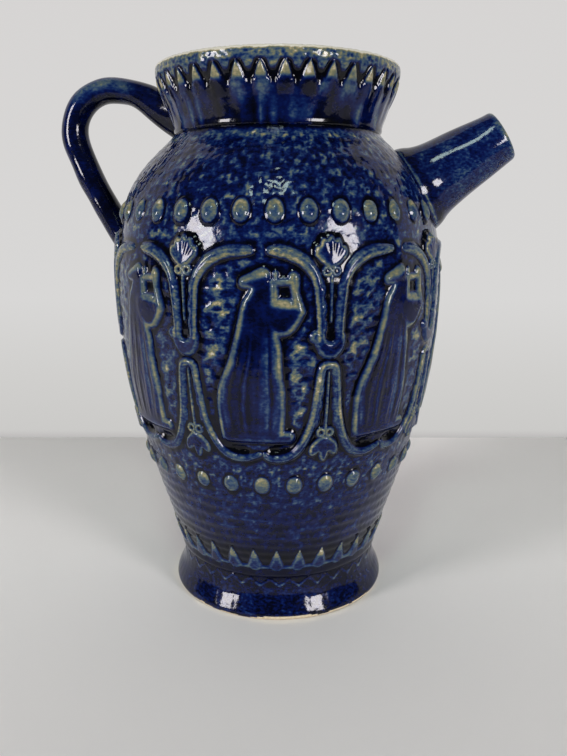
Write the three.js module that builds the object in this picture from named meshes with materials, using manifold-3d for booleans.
// Stoneware jug: a hollow belly on a flared foot ring, a collar cut into petals, a pulled handle,
// a tube spout, and a frieze of sprigs (robed pipers in an arcade of bands, blossoms and palmettes).
// Millimetres, +Z up. The origin is on the jug's axis, on the surface that the foot stands on.
// The handle lies along -X, the spout along +X, and the frieze runs round the belly.
import * as THREE from 'three';
import { mergeVertices } from 'three/addons/utils/BufferGeometryUtils.js';
import { TessellateModifier } from 'three/addons/modifiers/TessellateModifier.js';
import Module from 'manifold-3d';

const wasm = await Module();
wasm.setup();

// Heights, stacked from the floor up
const footHeight = 21.5;
const bellyRise = 154.5;
const shoulderRise = 73;
const collarRise = 32.6;

// Joints between luted pieces
const seatGap = 0.3;

// Foot ring
const footRestRadius = 57.6;
const footBulgeRadius = 60.9;
const footBulgeHeight = 4;
const footRestWidth = 6.6;
const footInnerRadius = 47;

// Belly
const bellySeatRadius = 55;
const bellyRadius = 87;
const creaseRadius = 54;
const wallThickness = 6;
const floorThickness = 7;
const hemRollOut = 1.6;
const hemRollHeight = 5;

// Collar
const lipRadius = 63.4;
const collarWall = 5;
const lipBandHeight = 6.8;
const petalCount = 35;
const petalTurn = THREE.MathUtils.degToRad(1);
const petalLength = 8.8;
const petalTipWidth = 0.8;
const petalDepth = 1.6;

// Rows of beads on the belly, above the arches and below the figures' feet
const upperBeadCount = 35;
const upperBeadTurn = THREE.MathUtils.degToRad(7.2);
const upperBeadGap = 16.4;
const upperBeadWidth = 7.4;
const upperBeadHeight = 9.6;
const lowerBeadCount = 30;
const lowerBeadTurn = THREE.MathUtils.degToRad(2);
const lowerBeadGap = 23.3;
const lowerBeadWidth = 7.4;
const lowerBeadHeight = 9;
const beadRelief = 1.9;

// Spout
const spoutTilt = THREE.MathUtils.degToRad(32);
const spoutRootRise = 47.5;
const spoutLength = 46;
const spoutTipRadius = 13.4;
const spoutNeckRadius = 17.3;
const spoutRootRadius = 21.5;
const spoutTipBore = 8.9;
const spoutRootBore = 12.5;

// Handle
const handleStandoff = 32.4;
const handleCrown = 24.2;
const handleUpperRoot = 12;
const handleLowerRoot = 17;
const handleThickness = 13.2;
const handleWidth = 16.5;
const handleFlare = 3.8;
const handleFootFlare = 2;
const handleFlareShare = 0.14;
const handleBulge = 5;
const handleWaistRise = 4;
const handleWaistIn = 2.8;
const handleLean = 7;

// Frieze: figures stand this far below the belly's widest level, one to a panel
const panelCount = 8;
const friezeDrop = 71;
const friezeTurn = THREE.MathUtils.degToRad(1.3);
const sprigLift = 1.2;
const sprigCrown = 1.9;
const crownInset = 3.2;
const ribbonDraft = 0.6;

// Figure
const figureHeight = 82;
const figureWidth = 42;

// Arcade bands, rising from a knot between two panels
const knotGap = 3.4;
const bandStand = 4.1;
const bandWidth = 4.4;
const bandRise = 18.6;
const archHeadroom = 7.6;
const archGap = 4.5;
const archGapShift = 2.5;

// Cradle: an upturned U under the knot, whose legs sweep out under the figures
const cradleTop = 34;
const cradleHalfGap = 3.5;
const cradleWidth = 3.6;
const cradleKnee = 21;
const cradleSag = 7.6;
const cuspRise = 2.8;
const cuspGap = 0.8;
const cuspShift = 1.9;

// Blossom over the knot and palmette under it
const fanLobes = 5;
const fanSpread = THREE.MathUtils.degToRad(170);
const blossomDrop = 4.6;
const blossomRadius = 8.8;
const blossomVolute = 3.6;
const blossomNeck = 5;
const palmetteHeart = -3.2;
const palmetteRadius = 8.3;
const palmetteVolute = 4.4;
const palmetteNeck = 8;
const stemClearance = 1;
const stemWidth = 1.3;

// Fineness of round surfaces
const latheSegments = 48;
const tubeSegments = 18;
const cavitySegments = 20;
const sprigMaxEdge = 10.5;
const climbShare = 0.62;
const archSteps = 4;
const cradleSteps = 3;
const handleSides = 10;
const handleRings = 20;

// Heights worked out from the stack
const footTop = footHeight;
const widestLevel = footTop + bellyRise;
const creaseLevel = widestLevel + shoulderRise;
const friezeFoot = widestLevel - friezeDrop;
const halfPitch = Math.PI * bellyRadius / panelCount;

// Heights in the frieze, from the figures' feet
const archCrown = figureHeight + archHeadroom;
const bandSpring = archCrown - bandRise;
const blossomHeart = archCrown - blossomDrop;
const cradleApex = cradleTop + cradleHalfGap + cradleWidth / 2;
const knotLevel = cradleApex + knotGap + bandWidth / 2 + bandStand;
const stemTop = cradleTop - stemClearance;
const upperBeadLevel = friezeFoot + archCrown + upperBeadGap;
const lowerBeadLevel = friezeFoot - lowerBeadGap;

// Glaze colours by piece
const colours = {
  body: 0x1c2a63,
  foot: 0x182458,
  collar: 0x223069,
  spout: 0x1a285c,
  handle: 0x172356,
  figure: 0x23366f,
  band: 0x6f7350,
  bloom: 0x566a72,
};

const wallCurve = bellyCurves();

// Outer profile of the belly: a long swell up to the widest level, then the shoulder.
function bellyCurves() {
  const swell = new THREE.CubicBezierCurve(
    new THREE.Vector2(bellySeatRadius, footTop),
    new THREE.Vector2(bellySeatRadius + 0.4 * (bellyRadius - bellySeatRadius), footTop + 0.24 * bellyRise),
    new THREE.Vector2(bellyRadius, footTop + 0.565 * bellyRise),
    new THREE.Vector2(bellyRadius, widestLevel),
  );
  const shoulder = new THREE.CubicBezierCurve(
    new THREE.Vector2(bellyRadius, widestLevel),
    new THREE.Vector2(bellyRadius, widestLevel + 0.72 * shoulderRise),
    new THREE.Vector2(creaseRadius + 0.315 * (bellyRadius - creaseRadius), widestLevel + 0.82 * shoulderRise),
    new THREE.Vector2(creaseRadius, creaseLevel),
  );
  return [...swell.getPoints(9), ...shoulder.getPoints(8).slice(1)];
}

function radiusAt(profile, height) {
  const next = profile.findIndex((point) => point.y >= height);
  if (next <= 0) {
    return next === 0 ? profile[0].x : profile.at(-1).x;
  }
  const below = profile[next - 1];
  const above = profile[next];
  return THREE.MathUtils.mapLinear(height, below.y, above.y, below.x, above.x);
}

function wallRadius(height) {
  return radiusAt(wallCurve, height);
}

// Keeps positions only, joins shared corners, drops empty triangles and turns the faces outwards.
function closedSolid(geometry) {
  const bare = new THREE.BufferGeometry();
  bare.setAttribute('position', geometry.getAttribute('position').clone());
  if (geometry.index) {
    bare.setIndex(geometry.index.clone());
  }
  const merged = mergeVertices(bare, 1e-3);
  const position = merged.getAttribute('position');
  const corners = merged.index.array;
  const kept = [];
  let volume = 0;
  const [a, b, c] = [new THREE.Vector3(), new THREE.Vector3(), new THREE.Vector3()];
  for (let i = 0; i < corners.length; i += 3) {
    const [p, q, r] = [corners[i], corners[i + 1], corners[i + 2]];
    if (p !== q && q !== r && r !== p) {
      kept.push(p, q, r);
      a.fromBufferAttribute(position, p);
      b.fromBufferAttribute(position, q);
      c.fromBufferAttribute(position, r);
      volume += a.dot(b.cross(c));
    }
  }
  merged.setIndex(volume < 0 ? kept.reverse() : kept);
  return merged;
}

function toManifold(geometry) {
  const solid = closedSolid(geometry);
  return new wasm.Manifold(new wasm.Mesh({
    numProp: 3,
    vertProperties: new Float32Array(solid.getAttribute('position').array),
    triVerts: new Uint32Array(solid.index.array),
  }));
}

function fromManifold(manifold) {
  const mesh = manifold.getMesh();
  const geometry = new THREE.BufferGeometry();
  geometry.setAttribute('position', new THREE.BufferAttribute(new Float32Array(mesh.vertProperties), 3));
  geometry.setIndex(Array.from(mesh.triVerts));
  return closedSolid(geometry);
}

// Turns a profile of (radius, height) points about the jug's axis.
function turned(profile, segments = latheSegments) {
  return new THREE.LatheGeometry(profile, segments).rotateX(Math.PI / 2);
}

// A solid plug with the outside of a turned piece, grown by the seat gap, for trimming what meets it.
function plug(profile) {
  const grown = profile.map((point) => new THREE.Vector2(point.x + seatGap, point.y));
  const bottom = new THREE.Vector2(0, profile[0].y);
  const top = new THREE.Vector2(0, profile.at(-1).y);
  return toManifold(turned([bottom, ...grown, top]));
}

function footRing() {
  const top = footHeight - seatGap;
  const outside = new THREE.SplineCurve([
    new THREE.Vector2(footRestRadius, 0),
    new THREE.Vector2(footBulgeRadius, footBulgeHeight),
    new THREE.Vector2((footBulgeRadius + bellySeatRadius) / 2, (footBulgeHeight + top) / 2),
    new THREE.Vector2(bellySeatRadius, top),
  ]).getPoints(5);
  const inside = [
    new THREE.Vector2(footInnerRadius, top),
    new THREE.Vector2(footInnerRadius, footBulgeHeight),
    new THREE.Vector2(footRestRadius - footRestWidth, 0),
  ];
  return turned([...outside, ...inside, outside[0]]);
}

// One bead, set half into the belly wall and repeated round it.
function beadRow(width, height, count, turn, level) {
  const slope = Math.atan2(wallRadius(level + 1) - wallRadius(level - 1), 2);
  const bead = new THREE.SphereGeometry(1, 6, 3)
    .scale(width / 2, beadRelief, height / 2)
    .rotateX(slope)
    .translate(0, -wallRadius(level), level);
  const row = [];
  for (let i = 0; i < count; i += 1) {
    row.push(toManifold(bead.clone().rotateZ(turn + 2 * Math.PI * i / count)));
  }
  return row;
}

// The inside of the belly, from the floor up through the crease.
function cavity() {
  const floor = footTop + floorThickness;
  const sides = wallCurve
    .filter((point, i) => i % 2 === 0 && point.y > floor + hemRollHeight)
    .map((point) => new THREE.Vector2(point.x - wallThickness, point.y));
  return toManifold(turned([
    new THREE.Vector2(0, floor),
    new THREE.Vector2(wallRadius(floor) - wallThickness, floor),
    ...sides,
    new THREE.Vector2(creaseRadius - wallThickness, creaseLevel + wallThickness),
    new THREE.Vector2(0, creaseLevel + wallThickness),
  ], cavitySegments));
}

// The belly with its rolled hem and bead rows, hollow, with the spout's bore through the shoulder.
// No bead is left where the spout or the handle is luted on.
function belly() {
  const hem = [
    new THREE.Vector2(bellySeatRadius, footTop),
    new THREE.Vector2(wallRadius(footTop + hemRollHeight) + hemRollOut, footTop + hemRollHeight),
    new THREE.Vector2(wallRadius(footTop + 2 * hemRollHeight), footTop + 2 * hemRollHeight),
  ];
  const outside = [...hem, ...wallCurve.filter((point) => point.y > hem.at(-1).y + hemRollHeight / 2)];
  let solid = toManifold(turned([
    new THREE.Vector2(0, footTop),
    ...outside,
    new THREE.Vector2(0, creaseLevel),
  ]));
  const beads = [
    ...beadRow(upperBeadWidth, upperBeadHeight, upperBeadCount, upperBeadTurn, upperBeadLevel),
    ...beadRow(lowerBeadWidth, lowerBeadHeight, lowerBeadCount, lowerBeadTurn, lowerBeadLevel),
  ];
  for (const bead of beads) {
    if (lutedOn().every((root) => bead.intersect(root).isEmpty())) {
      solid = solid.add(bead);
    }
  }
  const bore = new THREE.CylinderGeometry(spoutRootBore, spoutRootBore, spoutLength, tubeSegments);
  const throughShoulder = toManifold(onSpoutAxis(bore.rotateX(Math.PI / 2)));
  return fromManifold(solid.subtract(cavity()).subtract(throughShoulder));
}

// Outside of the collar, from the crease up to the lip.
function collarOutside() {
  const shoulder = collarRise - lipBandHeight;
  return [
    new THREE.Vector2(creaseRadius, creaseLevel + seatGap),
    new THREE.Vector2(creaseRadius + 0.24 * (lipRadius - creaseRadius), creaseLevel + 0.3 * shoulder),
    new THREE.Vector2(lipRadius, creaseLevel + shoulder),
    new THREE.Vector2(lipRadius, creaseLevel + collarRise - lipBandHeight / 3),
    new THREE.Vector2(lipRadius - collarWall / 5, creaseLevel + collarRise - lipBandHeight / 10),
    new THREE.Vector2(lipRadius - collarWall / 2, creaseLevel + collarRise),
  ];
}

// The collar: a flared ring with a row of petals left standing between triangular cuts.
function collar() {
  const outside = collarOutside();
  const inside = [
    new THREE.Vector2(lipRadius - collarWall * 0.85, creaseLevel + collarRise - lipBandHeight / 8),
    new THREE.Vector2(lipRadius - collarWall, creaseLevel + collarRise - lipBandHeight / 2),
    new THREE.Vector2(creaseRadius - wallThickness, creaseLevel + seatGap),
  ];
  let solid = toManifold(turned([...outside, ...inside, outside[0]]));
  const petalTop = collarRise - lipBandHeight;
  const pitch = 2 * Math.PI * lipRadius / petalCount;
  const half = (pitch - petalTipWidth) / 2;
  const cut = new THREE.Shape()
    .moveTo(0, petalTop - petalLength)
    .lineTo(half, petalTop)
    .lineTo(-half, petalTop);
  const wedge = new THREE.ExtrudeGeometry(cut, { depth: 2 * petalDepth, bevelEnabled: false });
  wedge.translate(0, 0, -petalDepth);
  wrapRound(wedge, (height) => radiusAt(outside, height), lipRadius, creaseLevel);
  for (let i = 0; i < petalCount; i += 1) {
    const angle = petalTurn + 2 * Math.PI * (i + 0.5) / petalCount;
    solid = solid.subtract(toManifold(wedge.clone().rotateZ(angle)));
  }
  return fromManifold(solid);
}

// Moves a shape made along +Z onto the spout's axis, with z = 0 where that axis meets the shoulder.
function onSpoutAxis(geometry) {
  const rootLevel = widestLevel + spoutRootRise;
  return geometry
    .rotateY(Math.PI / 2 - spoutTilt)
    .translate(wallRadius(rootLevel), 0, rootLevel);
}

// A tapered tube with a rounded lip, grown by the given amount, that still runs on into the belly.
function spoutTube(grow) {
  const lip = (spoutTipRadius - spoutTipBore) / 4;
  const outside = [
    new THREE.Vector2(spoutRootRadius, -spoutLength / 2),
    new THREE.Vector2(spoutRootRadius, 0),
    new THREE.Vector2((spoutRootRadius + spoutNeckRadius) / 2 - lip, spoutLength * 0.1),
    new THREE.Vector2(spoutNeckRadius, spoutLength * 0.3),
    new THREE.Vector2(spoutTipRadius, spoutLength - 2 * lip),
    new THREE.Vector2(spoutTipRadius - lip / 2, spoutLength - lip / 2),
    new THREE.Vector2(spoutTipRadius - 1.5 * lip, spoutLength),
  ].map((point) => new THREE.Vector2(point.x + grow, point.y));
  const inside = [
    new THREE.Vector2(spoutTipBore + lip, spoutLength - lip / 2),
    new THREE.Vector2(spoutTipBore, spoutLength - 2 * lip),
    new THREE.Vector2(spoutRootBore, 0),
    new THREE.Vector2(spoutRootBore, -spoutLength / 2),
  ];
  return onSpoutAxis(turned([...outside, ...inside, outside[0]], tubeSegments));
}

function spout() {
  return fromManifold(toManifold(spoutTube(0)).subtract(plug(wallCurve)));
}

// The handle's centre line in the XZ plane: out of the collar, over the crown and down to the shoulder.
function handlePath() {
  const crown = creaseLevel + handleCrown;
  const rootLevel = creaseLevel + handleUpperRoot;
  const seatLevel = widestLevel + handleLowerRoot;
  const outermost = bellyRadius + handleStandoff - handleThickness / 2;
  const upper = radiusAt(collarOutside(), rootLevel) - collarWall / 2;
  const lower = wallRadius(seatLevel) - wallThickness / 2;
  const crownX = (upper + outermost) / 2 + handleThickness / 2;
  const waist = new THREE.Vector3(handleWaistIn - outermost, 0, (crown + seatLevel) / 2 + handleWaistRise);
  const path = new THREE.CurvePath();
  path.add(new THREE.CubicBezierCurve3(
    new THREE.Vector3(-upper, 0, rootLevel),
    new THREE.Vector3(-upper - handleThickness, 0, crown - handleThickness / 4),
    new THREE.Vector3(-crownX + handleThickness, 0, crown),
    new THREE.Vector3(-crownX, 0, crown),
  ));
  path.add(new THREE.CubicBezierCurve3(
    new THREE.Vector3(-crownX, 0, crown),
    new THREE.Vector3(-outermost, 0, crown),
    new THREE.Vector3(-outermost - handleBulge, 0, (crown + waist.z) / 2),
    waist,
  ));
  path.add(new THREE.CubicBezierCurve3(
    waist,
    new THREE.Vector3(handleLean - outermost, 0, waist.z - handleThickness * 0.75),
    new THREE.Vector3(-lower - handleThickness, 0, seatLevel + handleThickness * 1.4),
    new THREE.Vector3(-lower, 0, seatLevel),
  ));
  return path;
}

// Sweeps an oval section, grown by the given amount, along the path, and spreads it at both roots.
function handleSweep(grow) {
  const [sides, rings] = [handleSides, handleRings];
  const path = handlePath();
  const corners = [];
  const faces = [];
  for (let i = 0; i <= rings; i += 1) {
    const along = i / rings;
    const centre = path.getPointAt(along);
    const tangent = path.getTangentAt(along);
    const nearCollar = Math.max(0, 1 - along / handleFlareShare);
    const nearBelly = Math.max(0, 1 - (1 - along) / handleFlareShare);
    const spread = grow + handleFlare * nearCollar ** 2 + handleFootFlare * nearBelly ** 2;
    const normal = new THREE.Vector3(-tangent.z, 0, tangent.x);
    for (let k = 0; k < sides; k += 1) {
      const turn = 2 * Math.PI * k / sides;
      const corner = centre.clone().addScaledVector(normal, (handleThickness / 2 + spread) * Math.cos(turn));
      corner.y += (handleWidth / 2 + spread) * Math.sin(turn);
      corners.push(corner);
    }
  }
  for (let i = 0; i < rings; i += 1) {
    for (let k = 0; k < sides; k += 1) {
      const next = (k + 1) % sides;
      const [a, b] = [i * sides + k, i * sides + next];
      faces.push(a, a + sides, b, b, a + sides, b + sides);
    }
  }
  const last = rings * sides;
  for (let k = 1; k < sides - 1; k += 1) {
    faces.push(0, k, k + 1, last, last + k + 1, last + k);
  }
  const sweep = new THREE.BufferGeometry().setFromPoints(corners);
  sweep.setIndex(faces);
  return sweep;
}

function handle() {
  const trimmed = toManifold(handleSweep(0)).subtract(plug(wallCurve)).subtract(plug(collarOutside()));
  return fromManifold(trimmed);
}

// What is luted onto the shoulder over the beads and sprigs, grown by the seat gap.
function lutedOn() {
  return [toManifold(handleSweep(seatGap)), toManifold(spoutTube(seatGap))];
}

// Bends a flat shape round the jug: x runs round the wall at the given radius, y up it, z out of it.
function wrapRound(geometry, wall, drawnRadius, base) {
  const position = geometry.getAttribute('position');
  for (let i = 0; i < position.count; i += 1) {
    const angle = position.getX(i) / drawnRadius;
    const height = base + position.getY(i);
    const radius = wall(height) + position.getZ(i);
    position.setXYZ(i, radius * Math.sin(angle), -radius * Math.cos(angle), height);
  }
  return geometry;
}

function distanceToOutline(x, y, outline) {
  const point = new THREE.Vector3(x, y, 0);
  const nearest = new THREE.Vector3();
  let least = Infinity;
  outline.forEach((start, i) => {
    const end = outline[(i + 1) % outline.length];
    const edge = new THREE.Line3(new THREE.Vector3(start.x, start.y, 0), new THREE.Vector3(end.x, end.y, 0));
    edge.closestPointToPoint(point, true, nearest);
    least = Math.min(least, nearest.distanceTo(point));
  });
  return least;
}

// A press-moulded sprig: a flat outline with a pillowed front, wrapped onto the belly wall.
// Its faces are cut short round the wall, and longer up it, where the wall hardly bends.
function sprig(shape) {
  const slab = new THREE.ExtrudeGeometry(shape, { depth: sprigLift, bevelEnabled: false, curveSegments: 4 });
  slab.scale(1, climbShare, 1);
  const fine = new TessellateModifier(sprigMaxEdge, 12).modify(slab);
  fine.scale(1, 1 / climbShare, 1);
  const outlines = [shape.getPoints(4), ...shape.holes.map((hole) => hole.getPoints(4))];
  const position = fine.getAttribute('position');
  for (let i = 0; i < position.count; i += 1) {
    if (position.getZ(i) > sprigLift / 2) {
      const [x, y] = [position.getX(i), position.getY(i)];
      const inset = Math.min(...outlines.map((outline) => distanceToOutline(x, y, outline)));
      const crown = THREE.MathUtils.smoothstep(inset, 0, crownInset);
      position.setZ(i, THREE.MathUtils.lerp(sprigLift, sprigCrown, crown));
    }
  }
  return closedSolid(wrapRound(fine, (height) => wallRadius(height) + seatGap, bellyRadius, friezeFoot));
}

// Robed piper in profile on a plinth, drawn on a grid one figure wide and one figure high.
function figureShape() {
  const at = (across, up) => new THREE.Vector2(across * figureWidth, up * figureHeight);
  const outline = [
    at(-0.42, 0), at(0.44, 0), at(0.44, 0.08), at(0.29, 0.09),
    at(0.34, 0.27), at(0.28, 0.57), at(0.24, 0.645),
    at(0.36, 0.64), at(0.53, 0.77), at(0.42, 0.9), at(0.44, 0.98), at(0.35, 0.98),
    at(0.33, 0.945), at(0.24, 0.945), at(0.22, 0.985), at(0.17, 0.98), at(0.17, 0.87),
    at(0.13, 0.87), at(0.16, 0.94), at(0.08, 1), at(-0.16, 0.95), at(-0.15, 0.905), at(-0.02, 0.88),
    at(-0.13, 0.82), at(-0.2, 0.66), at(-0.3, 0.48), at(-0.45, 0.34), at(-0.48, 0.22),
  ];
  const shape = new THREE.Shape(outline);
  const window = [at(0.23, 0.84), at(0.33, 0.84), at(0.32, 0.905), at(0.23, 0.905)];
  shape.holes.push(new THREE.Path(window));
  return shape;
}

// A moulded ribbon along a path, with sloped sides, narrowed at both ends and wrapped onto the belly.
function ribbon(path, width, steps) {
  const points = path.getPoints(steps);
  const last = points.length - 1;
  const corners = [];
  points.forEach((point, i) => {
    const before = points[Math.max(i - 1, 0)];
    const after = points[Math.min(i + 1, last)];
    const along = after.clone().sub(before).normalize();
    const across = new THREE.Vector2(-along.y, along.x);
    const half = i === 0 || i === last ? width / 3 : width / 2;
    const section = [[-half, 0], [half, 0], [half - ribbonDraft, sprigCrown], [ribbonDraft - half, sprigCrown]];
    for (const [offset, lift] of section) {
      const edge = point.clone().addScaledVector(across, offset);
      corners.push(new THREE.Vector3(edge.x, edge.y, lift));
    }
  });
  const faces = [0, 1, 2, 0, 2, 3, 4 * last, 4 * last + 2, 4 * last + 1, 4 * last, 4 * last + 3, 4 * last + 2];
  for (let i = 0; i < last; i += 1) {
    for (let k = 0; k < 4; k += 1) {
      const [a, b] = [4 * i + k, 4 * i + (k + 1) % 4];
      faces.push(a, a + 4, b, b, a + 4, b + 4);
    }
  }
  const strip = new THREE.BufferGeometry().setFromPoints(corners);
  strip.setIndex(faces);
  return closedSolid(wrapRound(strip, (height) => wallRadius(height) + seatGap, bellyRadius, friezeFoot));
}

// One ribbon from half-arch to half-arch, which dips into a cup-shaped knot between two panels.
function archPath() {
  const leftReach = halfPitch - archGapShift - archGap / 2;
  const rightReach = halfPitch + archGapShift - archGap / 2;
  const standTop = bandStand + bandWidth / 3;
  const bend = bandSpring + 0.75 * (archCrown - bandSpring);
  return new THREE.Path()
    .moveTo(-leftReach, archCrown)
    .bezierCurveTo(-0.45 * leftReach, archCrown + bandWidth / 3, -standTop, bend, -standTop, bandSpring)
    .lineTo(-bandStand, knotLevel)
    .absarc(0, knotLevel, bandStand, Math.PI, 2 * Math.PI)
    .lineTo(standTop, bandSpring)
    .bezierCurveTo(standTop, bend, 0.45 * rightReach, archCrown + bandWidth / 3, rightReach, archCrown);
}

// One ribbon from cusp to cusp: a scallop under each figure and an upturned U below the knot.
function cradlePath() {
  const leftReach = halfPitch - cuspShift - cuspGap / 2;
  const rightReach = halfPitch + cuspShift - cuspGap / 2;
  const cusp = cuspRise - cradleSag;
  const knee = cradleHalfGap + cradleWidth / 3;
  const flare = cradleHalfGap + 0.8 * cradleWidth;
  return new THREE.Path()
    .moveTo(-leftReach, cusp)
    .quadraticCurveTo(-0.85 * leftReach, -cradleSag, -0.63 * leftReach, -cradleSag)
    .bezierCurveTo(-0.38 * leftReach, -cradleSag, -flare, 0.2 * cradleKnee, -knee, cradleKnee)
    .lineTo(-cradleHalfGap, cradleTop)
    .absarc(0, cradleTop, cradleHalfGap, Math.PI, 0, true)
    .lineTo(knee, cradleKnee)
    .bezierCurveTo(flare, 0.2 * cradleKnee, 0.38 * rightReach, -cradleSag, 0.63 * rightReach, -cradleSag)
    .quadraticCurveTo(0.85 * rightReach, -cradleSag, rightReach, cusp);
}

// A fan of rounded lobes about a heart, opening upwards, from its right side round to its left.
function fanPoints(heart, radius) {
  const points = [];
  const stepsPerLobe = 3;
  const total = fanLobes * stepsPerLobe;
  for (let i = 0; i <= total; i += 1) {
    const angle = Math.PI / 2 + fanSpread * (i / total - 0.5);
    const reach = i % stepsPerLobe === 0 ? 0.85 * radius : radius;
    points.push(new THREE.Vector2(reach * Math.cos(angle), heart + reach * Math.sin(angle)));
  }
  return points;
}

// An open fan over a pair of volutes.
function blossomShape() {
  return new THREE.Shape([
    ...fanPoints(blossomHeart, blossomRadius),
    new THREE.Vector2(-blossomVolute, blossomHeart - blossomNeck),
    new THREE.Vector2(0, blossomHeart - blossomNeck - blossomVolute / 2),
    new THREE.Vector2(blossomVolute, blossomHeart - blossomNeck),
  ]);
}

// The fan hangs down from its volutes, and a thin stem climbs from them into the cradle's U.
function palmetteShape() {
  const fan = fanPoints(0, palmetteRadius).map((point) => new THREE.Vector2(point.x, palmetteHeart - point.y));
  const neck = palmetteHeart + palmetteNeck;
  return new THREE.Shape([
    ...fan,
    new THREE.Vector2(-palmetteVolute / 3, neck - palmetteVolute),
    new THREE.Vector2(-palmetteVolute, neck),
    new THREE.Vector2(-stemWidth / 2, neck + palmetteVolute / 2),
    new THREE.Vector2(-stemWidth / 2, stemTop),
    new THREE.Vector2(stemWidth / 2, stemTop),
    new THREE.Vector2(stemWidth / 2, neck + palmetteVolute / 2),
    new THREE.Vector2(palmetteVolute, neck),
    new THREE.Vector2(palmetteVolute / 3, neck - palmetteVolute),
  ]);
}

function glazed(colour) {
  return new THREE.MeshStandardMaterial({ color: colour, roughness: 0.18, metalness: 0 });
}

function piece(name, geometry, colour) {
  const mesh = new THREE.Mesh(geometry, glazed(colour));
  mesh.name = name;
  return mesh;
}

const jug = new THREE.Group();
jug.add(
  piece('foot_ring', closedSolid(footRing()), colours.foot),
  piece('body', belly(), colours.body),
  piece('neck_collar', collar(), colours.collar),
  piece('spout', spout(), colours.spout),
  piece('handle', handle(), colours.handle),
);

// Cuts away what the handle and the spout cover of a sprig that stands at the given angle round the jug.
function clearOfRoots(geometry, angle) {
  const placed = toManifold(geometry.clone().rotateZ(angle));
  const covering = lutedOn().filter((root) => !placed.intersect(root).isEmpty());
  if (covering.length === 0) {
    return geometry;
  }
  return fromManifold(covering.reduce((rest, root) => rest.subtract(root), placed)).rotateZ(-angle);
}

// Sprigs repeat once a panel: figures in the middle of it, the arcade ornaments on its edge.
const figure = sprig(figureShape());
const ornaments = {
  arch: [ribbon(archPath(), bandWidth, archSteps), colours.band],
  cradle: [ribbon(cradlePath(), cradleWidth, cradleSteps), colours.band],
  blossom: [sprig(blossomShape()), colours.bloom],
  palmette: [sprig(palmetteShape()), colours.bloom],
};
const frieze = new THREE.Group();
for (let i = 0; i < panelCount; i += 1) {
  const middle = friezeTurn + 2 * Math.PI * i / panelCount;
  const edge = middle + Math.PI / panelCount;
  const musician = piece(`musician_${i + 1}`, clearOfRoots(figure, middle), colours.figure);
  musician.rotation.z = middle;
  frieze.add(musician);
  for (const [name, [geometry, colour]] of Object.entries(ornaments)) {
    const ornament = piece(`${name}_${i + 1}`, clearOfRoots(geometry, edge), colour);
    ornament.rotation.z = edge;
    frieze.add(ornament);
  }
}
jug.add(frieze);

export default jug;
